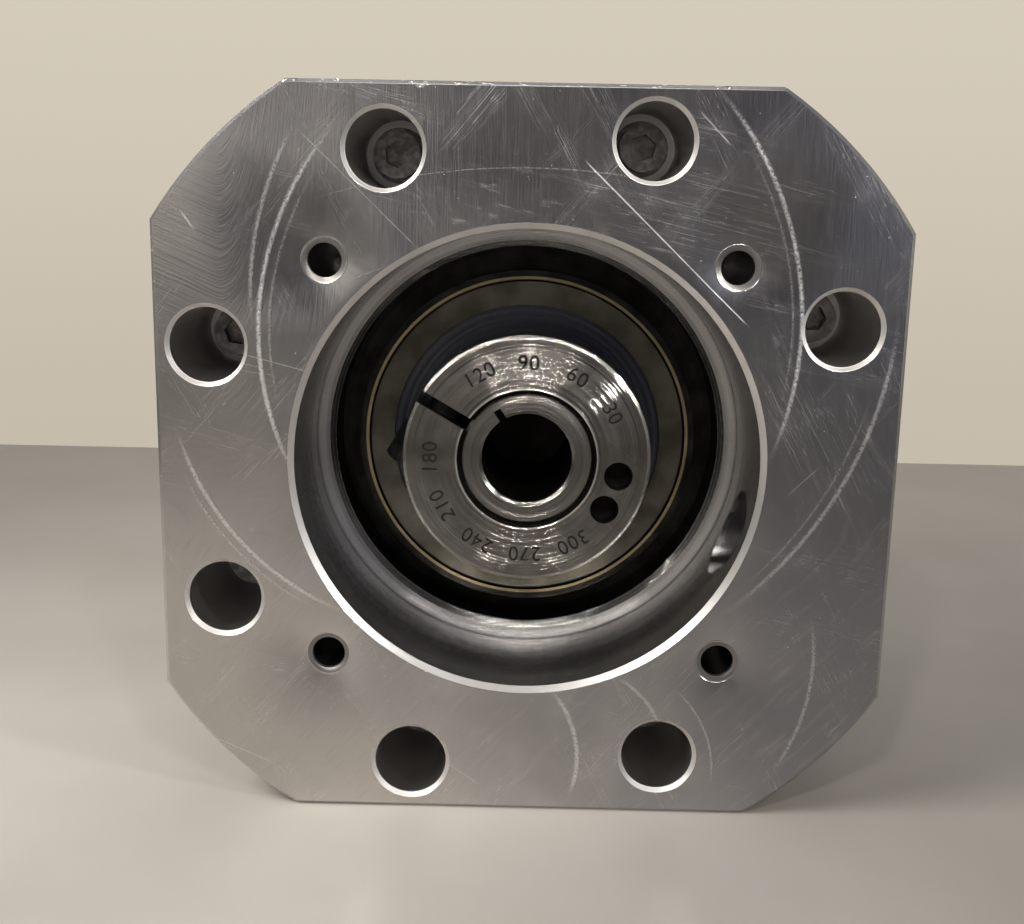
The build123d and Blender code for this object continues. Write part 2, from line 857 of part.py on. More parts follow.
def main_bearing(bore, diameter, front, width, roller_diameter, widening):
    """The sizes of a tapered roller bearing, which widens towards +Y (1) or towards -Y (-1)."""
    pitch_radius = (bore + diameter) / 4
    apex_distance = pitch_radius / math.tan(roller_tilt)
    roller_half_angle = math.atan(roller_diameter / 2 * math.sin(roller_tilt) / pitch_radius)
    return {
        "bore": bore,
        "diameter": diameter,
        "front": front,
        "back": front + width,
        "middle": front + width / 2,
        "widening": widening,
        "apex_distance": apex_distance,
        "half_angle": roller_half_angle,
        "roller_length": width - 2 * roller_margin,
    }


inner_main = main_bearing(
    inner_cone_bore, inner_cup_diameter, inner_main_front, inner_main_width, inner_roller_diameter, -1
)
outer_main = main_bearing(
    outer_cone_bore, outer_cup_diameter, outer_main_front, outer_main_width, outer_roller_diameter, 1
)


def cone_radius(bearing, depth, tilt):
    """The radius at a depth on the cone through the bearing's apex that opens at a tilt."""
    along = bearing["widening"] * (depth - bearing["middle"])
    return (bearing["apex_distance"] + along) * math.tan(tilt)


def main_cup(bearing):
    tilt = roller_tilt + bearing["half_angle"]
    front = bearing["front"]
    back = bearing["back"]
    outer = bearing["diameter"] / 2 - seat_gap
    return turned(
        (cone_radius(bearing, front, tilt) + running_gap, front),
        (outer, front),
        (outer, back),
        (cone_radius(bearing, back, tilt) + running_gap, back),
    )


def main_cone(bearing):
    """The inner ring, with a rib at its wide end that guides the rollers."""
    tilt = roller_tilt - bearing["half_angle"]
    front = bearing["front"]
    back = bearing["back"]
    bore = bearing["bore"] / 2
    track = turned(
        (bore, front),
        (cone_radius(bearing, front, tilt) - running_gap, front),
        (cone_radius(bearing, back, tilt) - running_gap, back),
        (bore, back),
    )
    wide_end = back if bearing["widening"] > 0 else front
    rib_start = wide_end - bearing["widening"] * cone_rib_width
    rib_radius = cone_radius(bearing, rib_start, tilt) + cone_rib_height
    rib = turned((bore, rib_start), (rib_radius, rib_start), (rib_radius, wide_end), (bore, wide_end))
    return track + rib


def roller_set(bearing, play, margin):
    """The tapered rollers, grown by a play and lengthened by a margin."""
    slope = math.tan(bearing["half_angle"])
    reach = bearing["apex_distance"] / math.cos(roller_tilt)
    length = bearing["roller_length"] + 2 * margin
    small = (reach - length / 2) * slope + play
    large = (reach + length / 2) * slope + play
    side = bearing["widening"]
    pitch = bearing["apex_distance"] * math.tan(roller_tilt)
    place = Plane(
        origin=(pitch, bearing["middle"], 0),
        x_dir=(0, 0, 1),
        z_dir=(math.sin(roller_tilt), side * math.cos(roller_tilt), 0),
    )
    roller = place * Cone(small, large, length)
    return [Rot(0, turn, 0) * roller for turn in ring_places(roller_count)]


def main_rollers(bearing):
    return Compound(children=roller_set(bearing, -running_gap, 0.0))


def main_cage(bearing):
    """The cage: a thin cone through the middle of the rollers, with a pocket for each roller."""
    front = bearing["front"] + roller_cage_margin
    back = bearing["back"] - roller_cage_margin
    half = cage_thickness / 2
    near = cone_radius(bearing, front, roller_tilt)
    far = cone_radius(bearing, back, roller_tilt)
    cage = turned((near - half, front), (near + half, front), (far + half, back), (far - half, back))
    for pocket in roller_set(bearing, cage_play, cage_play):
        cage -= pocket
    return cage


def bearing_nut():
    """The slotted nut that sets the play of the main bearings."""
    inner = outer_cone_bore / 2 + thread_gap
    outer = outer_cone_bore / 2 + nut_height
    nut = tube(2 * inner, 2 * outer, outer_main_back, nut_back)
    for turn in angles(nut_slot_count):
        slot = Rot(0, 0, turn) * Pos(outer, 0) * Rectangle(2 * nut_slot_depth, nut_slot_width)
        nut -= slab(slot, outer_main_back, nut_back)
    return nut


# Ring gear housing and output housing

housing_screw_seat = ring_housing_front + m6_head_height + open_gap
housing_screw_length = output_housing_front + housing_thread_length - housing_screw_seat
half_step = 180.0 / adapter_screw_places
housing_screw_turns = angles(housing_screw_count, adapter_screw_angle + half_step)


def ring_gear_housing():
    bore = spigot_radius + seat_gap
    cutter = toothed_outline(
        ring_teeth, ring_tip_radius, ring_root_radius, tooth_thickness + tooth_thinning, 0.0
    )
    housing = slab(Circle(housing_diameter / 2) - cutter, ring_housing_front, output_housing_front)
    housing -= slab(Circle(bore), ring_housing_front, ring_teeth_front)
    housing -= slab(Circle(bore), ring_teeth_back, output_housing_front)
    front = ring_housing_front
    thread = m6_diameter + 2 * thread_gap
    radius = adapter_screw_circle / 2
    housing -= rods(thread, front, front + adapter_thread_length + open_gap, radius, adapter_screw_turns)
    radius = housing_screw_circle / 2
    pocket = m6_head_diameter + 2 * head_gap
    hole = m6_diameter + 2 * screw_gap
    housing -= rods(pocket, front, housing_screw_seat, radius, housing_screw_turns)
    housing -= rods(hole, front, output_housing_front, radius, housing_screw_turns)
    return housing


def housing_screws():
    screws = []
    for place, turn in enumerate(housing_screw_turns):
        screw = socket_screw(
            m6_diameter,
            m6_head_diameter,
            m6_head_height,
            m6_key_width,
            m6_key_depth,
            housing_screw_length,
            key_turn_step * place,
        )
        screws.append(placed_round(screw, housing_screw_circle / 2, turn, housing_screw_seat))
    return Compound(children=screws)


def output_housing():
    body = housing_diameter / 2
    carrier_room = spigot_radius - spigot_wall
    inner_seat = inner_cup_diameter / 2
    outer_seat = outer_cup_diameter / 2
    rib = outer_seat - outer_shoulder_height
    nut_room = outer_cone_bore / 2 + nut_height + open_gap
    seal_seat = output_seal_diameter / 2
    pilot = output_pilot_diameter / 2
    nose = nose_diameter / 2
    pilot_end = flange_back + output_pilot_length
    housing = turned(
        (inner_seat, output_housing_front),
        (carrier_room, output_housing_front),
        (carrier_room, output_spigot_front),
        (spigot_radius, output_spigot_front),
        (spigot_radius, output_housing_front),
        (body, output_housing_front),
        (body, flange_back),
        (pilot, flange_back),
        (pilot, pilot_end),
        (nose, pilot_end),
        (nose, output_housing_back - nose_bevel),
        (nose - nose_bevel, output_housing_back),
        (seal_seat, output_housing_back),
        (seal_seat, output_seal_front),
        (nut_room, output_seal_front),
        (nut_room, outer_main_back),
        (outer_seat, outer_main_back),
        (outer_seat, outer_main_front),
        (rib, outer_main_front),
        (rib, inner_main_back),
        (inner_seat, inner_main_back),
    )
    outline = square_with_turned_corners(plate_width, flange_corner_diameter)
    flange = slab(outline - Circle(pilot), flange_front, flange_back)
    housing += flange
    turns = angles(output_screw_count, output_screw_angle)
    housing -= rods(output_screw_hole, flange_front, flange_back, output_screw_circle / 2, turns)
    depth = housing_screw_seat + housing_screw_length + open_gap
    thread = m6_diameter + 2 * thread_gap
    radius = housing_screw_circle / 2
    return housing - rods(thread, output_housing_front, depth, radius, housing_screw_turns)


def output_shaft_seal():
    back = output_housing_back - open_gap
    return lip_seal(output_seal_journal, output_seal_diameter, output_seal_front, back)


write("motor_adapter_plate", motor_adapter_plate())
write("adapter_screws", adapter_screws())
write("adapter_washers", adapter_washers())
write("access_plug", access_plug())
write("clamp_hub", clamp_hub())
write("clamp_screw", clamp_screw())
write("reducing_bushing", reducing_bushing())
write("sun_gear_shaft", sun_shaft())
write("input_bearing_outer_ring", input_bearing_outer_ring())
write("input_bearing_inner_ring", input_bearing_inner_ring())
write("input_bearing_shields", input_bearing_shields())
write("input_bearing_balls", input_bearing_balls())
write("input_bearing_cage", input_bearing_cage())
write("input_snap_ring", input_snap_ring())
write("input_bearing_housing", input_bearing_housing())
write("input_shaft_seal", input_shaft_seal())
for place, angle in enumerate(planet_angles(), start=1):
    write(f"planet_gear_{place}", planet_gear(angle))
    write(f"planet_needles_{place}", planet_needles(angle))
    write(f"needle_cage_{place}", needle_cage(angle))
write("planet_pins", planet_pins())
write("thrust_washers", thrust_washers())
write("output_carrier_shaft", output_carrier())
for name, bearing in (("inner_main", inner_main), ("outer_main", outer_main)):
    write(f"{name}_cup", main_cup(bearing))
    write(f"{name}_cone", main_cone(bearing))
    write(f"{name}_rollers", main_rollers(bearing))
    write(f"{name}_cage", main_cage(bearing))
write("bearing_nut", bearing_nut())
write("ring_gear_housing", ring_gear_housing())
write("housing_screws", housing_screws())
write("output_housing", output_housing())
write("output_shaft_seal", output_shaft_seal())
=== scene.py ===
import json
import math

import bpy
import numpy as np
from mathutils import Matrix, Vector

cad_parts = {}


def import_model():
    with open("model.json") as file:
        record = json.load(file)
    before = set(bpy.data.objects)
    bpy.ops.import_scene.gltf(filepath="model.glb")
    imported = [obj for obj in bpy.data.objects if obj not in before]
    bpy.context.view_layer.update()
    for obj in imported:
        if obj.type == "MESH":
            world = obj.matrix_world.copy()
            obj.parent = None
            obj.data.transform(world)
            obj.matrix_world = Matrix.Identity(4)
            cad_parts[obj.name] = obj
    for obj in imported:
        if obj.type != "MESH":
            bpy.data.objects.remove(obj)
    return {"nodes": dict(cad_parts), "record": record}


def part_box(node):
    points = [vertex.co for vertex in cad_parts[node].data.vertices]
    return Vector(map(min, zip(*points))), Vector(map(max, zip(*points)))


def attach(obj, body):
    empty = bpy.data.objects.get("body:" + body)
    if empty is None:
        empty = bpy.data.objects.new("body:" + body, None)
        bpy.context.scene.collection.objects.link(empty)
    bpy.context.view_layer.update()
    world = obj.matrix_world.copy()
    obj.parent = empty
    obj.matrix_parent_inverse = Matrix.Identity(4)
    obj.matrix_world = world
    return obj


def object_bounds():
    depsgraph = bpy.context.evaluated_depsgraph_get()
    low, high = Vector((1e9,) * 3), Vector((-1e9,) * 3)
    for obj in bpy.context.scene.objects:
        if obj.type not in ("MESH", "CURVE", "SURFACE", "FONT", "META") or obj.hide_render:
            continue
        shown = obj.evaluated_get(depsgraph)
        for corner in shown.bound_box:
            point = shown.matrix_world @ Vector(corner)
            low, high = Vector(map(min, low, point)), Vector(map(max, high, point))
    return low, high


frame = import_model()
cad_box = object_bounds()

# Lengths are in metres. The motor side faces -Y, and the gearbox stands on its flats.
# Inside the materials lengths are in millimetres, as a maker's drawing gives them.

MM = 0.001
mounts = {mount["name"]: mount for mount in frame["record"]["mounts"]}
plate_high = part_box("motor_adapter_plate")[1]
hub_low, hub_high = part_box("clamp_hub")
sleeve_low, sleeve_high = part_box("sun_gear_shaft")
bushing_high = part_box("reducing_bushing")[1]
neck_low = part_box("input_bearing_housing")[0]

# Sizes of the motor adapter plate, in millimetres and degrees
PLATE_HALF = plate_high.x / MM
PLATE_CORNER = 89.0
RIM_BEVEL = 0.8
PILOT_RADIUS = mounts["motor_pilot"]["dims"]["r_mm"]
PILOT_DEPTH = 30.7
PILOT_BEVEL = 1.2
MOTOR_CIRCLE = mounts["motor_bolts"]["dims"]["pcd_mm"] / 2
MOTOR_TAP_RADIUS = mounts["motor_bolts"]["dims"]["hole_r_mm"]
MOTOR_TAP_MOUTH = MOTOR_TAP_RADIUS + 1.15
MOTOR_TAP_ANGLE = 45.0
MOTOR_TAP_STEP = 90.0
MOTOR_THREAD_PITCH = 1.25
POCKET_CIRCLE = 68.6
POCKET_RADIUS = 7.55
POCKET_BEVEL = 0.85
POCKET_ANGLE = 25.0
POCKET_STEP = 45.0

# Sizes of the pieces in the bore, in millimetres
HUB_FRONT = hub_low.y / MM
HUB_RADIUS = hub_high.x / MM
HUB_BEVEL = 0.6
HUB_BORE_RADIUS = 15.0
SLEEVE_FRONT = sleeve_low.y / MM
SLEEVE_RADIUS = sleeve_high.x / MM
BUSHING_RADIUS = bushing_high.x / MM
MOTOR_SHAFT_RADIUS = mounts["motor_shaft_bore"]["dims"]["r_mm"]
NECK_FRONT = neck_low.y / MM
NECK_LIP_RADIUS = 36.65
NECK_OUTER_RADIUS = 51.0

# Camera at the photograph's place, in metres, degrees and millimetres of lens
CAMERA_PLACE = (-0.0010, -0.2457, 0.0508)
CAMERA_TURN = (78.534, -1.081, 0.683)
CAMERA_LENS = 43.51
CAMERA_SENSOR = 36.0

# The table top reaches this far behind the motor side, and this far to the other sides
TABLE_EDGE = 0.393
TABLE_HALF = 3.0

SHADER_SOCKETS = {
    "base_color": "Base Color",
    "roughness": "Roughness",
    "normal": "Normal",
    "specular": "Specular IOR Level",
}


def join(tree, socket, value):
    """Gives a socket a link from a signal, a colour or a number."""
    if isinstance(value, Signal):
        tree.links.new(value.socket, socket)
    elif isinstance(value, tuple) and socket.type == "RGBA":
        socket.default_value = (*value, 1.0)
    else:
        socket.default_value = value


class Signal:
    """A socket of a shader node. Python's operators join it to other values through Math nodes."""

    def __init__(self, socket):
        self.socket = socket

    @classmethod
    def made(cls, tree, kind, values, *outs, **settings):
        """A new node: its settings come first, then its sockets. Gives the outputs asked for."""
        node = tree.nodes.new(kind)
        for setting, value in settings.items():
            setattr(node, setting, value)
        for name, value in values.items():
            join(tree, node.inputs[name], value)
        signals = [cls(node.outputs[out]) for out in outs or (0,)]
        return signals if len(signals) > 1 else signals[0]

    def node(self, kind, values, *outs, **settings):
        """A new node in the same tree."""
        return Signal.made(self.socket.id_data, kind, values, *outs, **settings)

    def math(self, operation, *others):
        values = {place: value for place, value in enumerate((self,) + others)}
        return self.node("ShaderNodeMath", values, operation=operation)

    def __add__(self, other):
        return self.math("ADD", other)

    def __radd__(self, other):
        return self.math("ADD", other)

    def __sub__(self, other):
        return self.math("SUBTRACT", other)

    def __rsub__(self, other):
        return self.node("ShaderNodeMath", {0: other, 1: self}, operation="SUBTRACT")

    def __mul__(self, other):
        return self.math("MULTIPLY", other)

    def __rmul__(self, other):
        return self.math("MULTIPLY", other)

    def __truediv__(self, other):
        return self.math("DIVIDE", other)

    def __rtruediv__(self, other):
        return self.node("ShaderNodeMath", {0: other, 1: self}, operation="DIVIDE")

    def __pow__(self, other):
        return self.math("POWER", other)

    def __abs__(self):
        return self.math("ABSOLUTE")

    def most(self, other):
        return self.math("MAXIMUM", other)

    def sine(self):
        return self.math("SINE")

    def cosine(self):
        return self.math("COSINE")

    def rise(self, start, end):
        """0 before start, 1 after end and a smooth step between; it falls if end comes first."""
        low, high = min(start, end), max(start, end)
        values = {"Value": self, "From Min": low, "From Max": high}
        values["To Min"], values["To Max"] = (0.0, 1.0) if end > start else (1.0, 0.0)
        return self.node("ShaderNodeMapRange", values, interpolation_type="SMOOTHSTEP")

    def near(self, centre, half_width):
        """1 at a centre value, falling smoothly to 0 at half a width from it."""
        return abs(self - centre).rise(half_width, 0.0)

    def parts(self):
        """The three parts of a vector."""
        return self.node("ShaderNodeSeparateXYZ", {0: self}, 0, 1, 2)

    def scaled(self, factor):
        """A vector times a number."""
        return self.node("ShaderNodeVectorMath", {0: self, "Scale": factor}, operation="SCALE")


def vector(x, y, z):
    """Three signals as one vector."""
    return x.node("ShaderNodeCombineXYZ", {0: x, 1: y, 2: z})


def noise(place, size, detail=2.0, roughness=0.5):
    """Cloudy noise from 0 to 1 with features of a size in millimetres."""
    values = {"Vector": place, "Scale": 1.0 / size, "Detail": detail, "Roughness": roughness}
    return place.node("ShaderNodeTexNoise", values)


def mixed(first, second, share):
    """One colour going over to another by a share from 0 to 1."""
    return share.node("ShaderNodeMix", {0: share, 6: first, 7: second}, 2, data_type="RGBA")


def polar(place):
    """The radius about the shaft axis and the depth along it."""
    x, y, z = place.parts()
    return (x * x + z * z) ** 0.5, y


def shaft_angle(place):
    """The angle in radians about the shaft axis."""
    x, _, z = place.parts()
    return z.math("ARCTAN2", x)


def from_nearest_hole(place, circle, first, step):
    """How far out and along its circle a place is from the nearest of the holes on it."""
    radius, _ = polar(place)
    half = math.radians(step / 2)
    turn = (shaft_angle(place) - math.radians(first)).math("WRAP", half, -half)
    return radius * turn.cosine() - circle, radius * turn.sine()


def distance(across, along):
    """The length of two parts at right angles."""
    return (across * across + along * along) ** 0.5


class Finish:
    """A material with one Principled shader, which the finish functions fill in."""

    def __init__(self, name, metallic=1.0):
        self.material = bpy.data.materials.new(name)
        self.material.use_nodes = True
        self.tree = self.material.node_tree
        self.shader = self.tree.nodes["Principled BSDF"]
        self.shader.inputs["Metallic"].default_value = metallic
        here = Signal.made(self.tree, "ShaderNodeTexCoord", {}, "Object")
        self.place = here.scaled(1.0 / MM)

    def set(self, **values):
        """Sockets of the shader, from colours, numbers or signals."""
        for name, value in values.items():
            join(self.tree, self.shader.inputs[SHADER_SOCKETS[name]], value)
        return self

    def relief(self, height, strength=1.0, distance=0.0001):
        """A bump from a height signal, with a height of 1 standing for the distance in metres."""
        values = {"Height": height, "Strength": strength, "Distance": distance}
        return self.set(normal=height.node("ShaderNodeBump", values))


# Marks that several finishes share


def scratches(place, size, turn, share):
    """Thin straight scratches: noise stretched along one direction, kept only at its crests."""
    x, y, z = place.parts()
    across = x * math.cos(turn) + z * math.sin(turn)
    along = z * math.cos(turn) - x * math.sin(turn)
    lines = noise(vector(across, y * 0.3, along * 0.02), size, 1.0)
    breaks = noise(vector(across * 0.4, y * 0.1, along * 0.09), 4.0, 2.0)
    return lines.near(0.5, share) * breaks.rise(0.5, 0.62)


def arc_mark(x, z, centre_x, centre_z, size, start, end, width):
    """A bright arc left by a milling cutter, fading at both ends; angles in degrees."""
    across = x - centre_x
    up = z - centre_z
    radius = distance(across, up)
    middle = math.radians((start + end) / 2)
    reach = math.radians(abs(end - start) / 2)
    turn = (up.math("ARCTAN2", across) - middle).math("WRAP", math.pi, -math.pi)
    line = radius.near(size, width)
    return line * abs(turn).rise(reach, reach * 0.5)


def grooves(radius, depth, size, detail=0.0):
    """The rings that a lathe's tool leaves: noise that changes only outwards and along the axis."""
    return noise(vector(radius, depth, 0.0), size, detail)


def straight_mark(x, z, from_x, from_z, to_x, to_z, width):
    """A thin straight scratch between two places."""
    length = math.hypot(to_x - from_x, to_z - from_z)
    along_x, along_z = (to_x - from_x) / length, (to_z - from_z) / length
    along = (x - from_x) * along_x + (z - from_z) * along_z
    across = (z - from_z) * along_x - (x - from_x) * along_z
    ends = along.rise(0.0, 3.0) * along.rise(length, length - 3.0)
    return across.near(0.0, width) * ends


# Where the plate's top edge is notched, in millimetres
NOTCH_X = -22.0

# Arcs on the plate's face: centre x and z, radius, start and end angle, width, strength
CUTTER_ARCS = (
    (7.9, 25.4, 61.8, 135.0, 212.0, 0.75, 1.0),
    (7.9, 25.4, 59.6, 145.0, 196.0, 0.5, 0.4),
    (9.9, 32.9, 65.2, 148.0, 186.0, 0.7, 0.7),
    (-17.1, 20.2, 55.5, 192.0, 252.0, 0.75, 0.85),
    (-17.1, 20.2, 57.4, 200.0, 245.0, 0.5, 0.4),
    (-13.9, 27.5, 67.7, -26.0, 48.0, 0.75, 0.9),
    (-13.9, 27.5, 65.9, -15.0, 36.0, 0.5, 0.35),
    (-9.7, 34.5, 82.5, -54.0, 0.0, 0.8, 0.7),
    (-9.7, 34.5, 80.4, -48.0, -12.0, 0.5, 0.35),
    (-11.8, -63.4, 23.8, -25.0, 45.0, 0.8, 0.8),
    (9.7, -63.0, 21.0, 5.0, 65.0, 0.7, 0.6),
    (16.4, -65.6, 24.3, -10.0, 55.0, 0.45, 0.5),
    (14.9, -40.6, 45.8, -35.0, 15.0, 0.7, 0.6),
    (0.0, -80.0, 139.0, 76.0, 110.0, 0.22, 0.35),
    (20.0, -95.0, 143.0, 92.0, 116.0, 0.2, 0.25),
)

# Scratches on the plate's face: from x and z, to x and z, width, strength
LONG_SCRATCHES = (
    (9.4, 61.2, 43.8, 28.8, 0.22, 0.7),
    (-46.0, 66.0, -22.0, 43.0, 0.22, 0.45),
    (-69.6, 51.0, -65.6, 45.4, 0.45, 0.9),
    (31.0, 71.0, 39.0, 63.0, 0.25, 0.5),
    (-64.0, 23.5, -38.0, 17.0, 0.2, 0.3),
    (-70.0, -58.0, -52.0, -66.0, 0.25, 0.5),
    (52.0, -6.0, 60.0, 2.0, 0.2, 0.4),
    (-20.0, -62.0, -8.0, -70.0, 0.2, 0.3),
)


def strongest(marks):
    """The strongest of several marks at each place."""
    total = marks[0]
    for mark in marks[1:]:
        total = total.most(mark)
    return total


def cutter_marks(x, z, grain):
    """The cutter's arcs, broken up by a grain."""
    arcs = [arc_mark(x, z, *arc) * strength for *arc, strength in CUTTER_ARCS]
    return strongest(arcs) * grain.rise(0.22, 0.6)


def feed_lines(x, z):
    """Across and along the cutter's feed: upright at the top, level at the left, slanted below."""
    level = x.rise(-30.0, -62.0) * z.rise(-25.0, 5.0) * 0.7
    slanted = z.rise(10.0, -20.0)
    upright = (1.0 - level) * (1.0 - slanted)
    slanted = slanted * (1.0 - level)
    across = x * upright + z * level + (x - z) * 0.7 * slanted
    along = z * upright + x * level + (x + z) * 0.7 * slanted
    return across, along


def smears(x, y, z):
    """Rubbed streaks above the pilot bore."""
    above_x, above_z, stretch = -6.0, 49.0, 0.35
    off_x, off_z = x - above_x, z - above_z
    far = (off_x * off_x * stretch + off_z * off_z) ** 0.5
    streaks = noise(vector(x * 0.3, y, z + x * 0.2), 1.6, 4.0, 0.65)
    return streaks.rise(0.52, 0.75) * far.rise(16.0, 4.0)


def edge_dents(place, side, grain):
    """Small dents along the plate's front edges, and one notch in the top edge."""
    x, y, z = place.parts()
    dents = noise(place, 1.4, 2.0).rise(0.60, 0.72) * side * y.rise(1.6, 0.3)
    notch = distance(x - NOTCH_X, z - PLATE_HALF) + grain * 1.2
    return dents.most(notch.rise(2.3, 1.3) * y.rise(1.5, 0.5))


def milled_plate():
    """Milled aluminium: cutter arcs and scratches on the face, turned bores, bright bevels."""
    finish = Finish("milled_plate")
    place = finish.place
    x, y, z = place.parts()
    radius, depth = polar(place)
    grain = noise(place, 0.55, 3.0)
    cloud = noise(place, 22.0, 3.0)

    # Shares from 0 to 1 of each kind of surface
    face = depth.rise(0.10, 0.02)
    inward = 1.0 - face
    bore_edge, pocket_edge = PILOT_RADIUS + PILOT_BEVEL, POCKET_RADIUS + POCKET_BEVEL
    pocket = distance(*from_nearest_hole(place, POCKET_CIRCLE, POCKET_ANGLE, POCKET_STEP))
    tap_out, tap_along = from_nearest_hole(place, MOTOR_CIRCLE, MOTOR_TAP_ANGLE, MOTOR_TAP_STEP)
    tap = distance(tap_out, tap_along)
    bore = radius.rise(bore_edge + 0.2, bore_edge - 0.1)
    in_pocket = pocket.rise(pocket_edge + 0.1, pocket_edge - 0.05)
    in_tap = tap.rise(MOTOR_TAP_MOUTH + 0.15, MOTOR_TAP_MOUTH)
    hole = bore.most(in_pocket).most(in_tap)
    side_edge, corner_edge = PLATE_HALF - RIM_BEVEL, PLATE_CORNER - RIM_BEVEL
    side = abs(x).most(abs(z)).rise(side_edge - 0.15, side_edge + 0.05)
    rim = side.most(radius.rise(corner_edge - 0.15, corner_edge + 0.05)) * (1.0 - hole)
    bevels = depth.rise(PILOT_BEVEL + 0.3, PILOT_BEVEL) * hole * inward
    rim_bevel = depth.rise(RIM_BEVEL + 0.15, RIM_BEVEL) * rim * inward
    inside = bore * inward * (1.0 - bevels)
    pocket_wall = in_pocket * inward

    # Marks on the face
    arcs = cutter_marks(x, z, grain)
    lines = [straight_mark(x, z, *line) * strength for *line, strength in LONG_SCRATCHES]
    lines = strongest(lines)
    across, along = feed_lines(x, z)
    comb = noise(vector(across, 0.0, along * 0.05), 0.32, 1.0)
    brushed = noise(vector(across, 0.0, along * 0.14), 1.5, 3.0, 0.6)
    fine = [scratches(place, 0.35, 0.5, 0.010), scratches(place, 0.5, -0.7, 0.010)]
    fine = strongest(fine + [scratches(place, 0.4, 1.35, 0.008)])
    specks = noise(place, 0.55, 1.0).rise(0.74, 0.80) * noise(place, 17.0, 2.0).rise(0.48, 0.62)
    smear = smears(x, y, z)
    marks = strongest([fine * 0.22, smear * 0.35, specks * 0.7, arcs * 0.8, lines * 0.8]) * face
    dents = edge_dents(place, side, grain)

    # Marks in the bores
    rings = grooves(radius, depth, 0.05)
    bands = grooves(radius, depth, 2.2, 1.0)
    drilled = grooves(pocket, depth, 0.3, 2.0)
    thread_turn = depth * (2 * math.pi / MOTOR_THREAD_PITCH) + tap_along.math("ARCTAN2", tap_out)
    thread = thread_turn.sine() * in_tap
    # Painted shade: the bore's wall deeper than the pilot is painted near black
    near_black = inside * depth.rise(PILOT_DEPTH + 1.2, PILOT_DEPTH + 3.0)
    seam = depth.near(PILOT_DEPTH - 0.3, 0.5)
    seam = seam * radius.rise(PILOT_RADIUS - 0.5, PILOT_RADIUS - 0.2)
    tap_edge = tap.near(MOTOR_TAP_MOUTH, 0.25) * depth.rise(0.5, 0.3)

    # The face's colour: warmer and paler low at the left as painted light, darker and cooler at the
    # right as painted shade, paler along the feed
    base = mixed((0.40, 0.395, 0.41), (0.50, 0.49, 0.485), cloud.rise(0.35, 0.65))
    # Painted light: the lower left of the face is paler and warmer
    base = mixed(base, (0.60, 0.57, 0.54), (x + z * 0.6).rise(-15.0, -95.0) * face * 0.8)
    # Painted shade: the right of the face is darker and cooler
    base = mixed(base, (0.31, 0.31, 0.335), (x - z * 0.2).rise(20.0, 75.0) * face * 0.7)
    base = mixed(base, (0.31, 0.31, 0.33), comb.rise(0.55, 0.8) * face * 0.25)
    base = mixed(base, (0.62, 0.61, 0.60), brushed.rise(0.5, 0.8) * face * 0.35)
    base = mixed(base, (0.95, 0.95, 0.94), marks)

    # The bevels' colour, and the walls' of the bores
    base = mixed(base, (0.66, 0.64, 0.62), bevels.most(rim_bevel * 0.8).most(dents))
    # Painted shade: the lower part of the bore's bevel is darker
    base = mixed(base, (0.42, 0.41, 0.395), z.rise(5.0, -25.0) * bore * bevels)
    base = mixed(base, (0.66, 0.65, 0.64), inside * (1.0 - bands * 0.6))
    base = mixed(base, (0.20, 0.19, 0.18), bands.rise(0.52, 0.72) * inside * 0.6)
    # Painted shade, near black, deep in the bore, and a dark seam at the pilot's floor
    base = mixed(base, (0.05, 0.047, 0.043), near_black.most(seam) * 0.9)
    base = mixed(base, (0.62, 0.60, 0.58), in_pocket * depth.rise(1.0, 3.0))
    # Painted shade: the walls inside the tapped holes are darker than their mouths
    base = mixed(base, (0.22, 0.21, 0.20), in_tap * (1.0 - tap_edge) * inward)

    rough = 0.14 + comb * 0.05 + cloud * 0.05 + brushed * 0.05 + marks * 0.30
    rough = rough - inside * 0.05 + bevels * 0.22 + pocket_wall * 0.12
    finish.set(base_color=base, roughness=rough)

    # Bores are more deeply grooved near the mouth and on the ledge behind the pilot
    ledge = depth.rise(PILOT_DEPTH - 0.4, PILOT_DEPTH - 0.2)
    mouth = depth.rise(11.0, 4.0)
    height = (comb * 0.7 + brushed) * face - fine * face * 0.3 - lines * face * 2.0
    height = height + rings * inside * (0.5 + mouth * 0.5 + ledge * 1.8)
    height = height + drilled * pocket_wall * 6.0 + grain * bevels * 1.5 + thread * 6.0
    height = height + arcs * face * grain * 3.0 - specks * face * 1.2 - dents * 3.0
    return finish.relief(height, 0.40, 0.00006).material


def turned_metal(name, colour, dark, roughness, groove=0.22):
    """Metal turned on a lathe: fine rings about the shaft axis with small brightness changes."""
    finish = Finish(name)
    radius, depth = polar(finish.place)
    rings = grooves(radius, depth, groove, 1.0)
    bands = grooves(radius, depth, 1.6, 2.0)
    cloud = noise(finish.place, 6.0, 3.0)
    base = mixed(dark, colour, bands.rise(0.3, 0.6) * 0.6 + cloud.rise(0.35, 0.6) * 0.4)
    finish.set(base_color=base, roughness=roughness + rings * 0.10 + cloud * 0.05)
    return finish.relief(rings + bands * 0.5, 0.4, 0.00005).material


